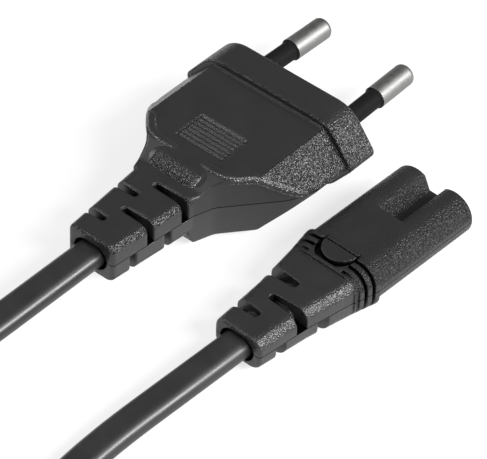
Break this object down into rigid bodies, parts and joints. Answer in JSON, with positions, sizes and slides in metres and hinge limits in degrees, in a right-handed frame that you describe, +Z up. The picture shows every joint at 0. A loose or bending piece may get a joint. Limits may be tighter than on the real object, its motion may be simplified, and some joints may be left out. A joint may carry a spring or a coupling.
{
  "type": "figure eight power lead",
  "caption": "Black moulded mains lead: a figure eight connector, a flat cord put away in a coil and a flat plug with round sleeved pins.",
  "frame": {"origin": "middle of the connector's underside, on the surface that the lead lies on", "axes": "+X along the connector towards its mouth, +Y towards the plug, +Z up"},
  "size_m": [0.1948, 0.0785, 0.0146],
  "materials": {
    "black_moulding": "soft black moulded PVC, satin, spark eroded texture on the edges",
    "cord_sheath": "extruded black PVC sheath, satin to gloss",
    "sleeve_plastic": "black moulded sleeve",
    "insert_plastic": "hard black insert",
    "nickel_pin": "nickel plated brass, bright",
    "contact_brass": "bare spring brass",
    "copper": "bare copper strand",
    "insulation_brown": "brown core insulation",
    "insulation_blue": "blue core insulation",
    "tie_wire": "black coated wire tie"
  },
  "bodies": {
    "root": {"connector_body": "black_moulding", "connector_insert": "insert_plastic", "contact_left": "contact_brass", "contact_right": "contact_brass", "connector_brown_core": "insulation_brown", "connector_blue_core": "insulation_blue", "connector_brown_conductor": "copper", "connector_blue_conductor": "copper", "plug_body": "black_moulding", "plug_bridge": "insert_plastic", "plug_pin_left": "nickel_pin", "plug_pin_right": "nickel_pin", "pin_sleeve_left": "sleeve_plastic", "pin_sleeve_right": "sleeve_plastic", "plug_brown_core": "insulation_brown", "plug_blue_core": "insulation_blue", "plug_brown_conductor": "copper", "plug_blue_conductor": "copper", "cord_connector_run": "cord_sheath", "cord_plug_run": "cord_sheath", "cord_coil": "cord_sheath", "coil_tie": "tie_wire"}
  },
  "joints": []
}
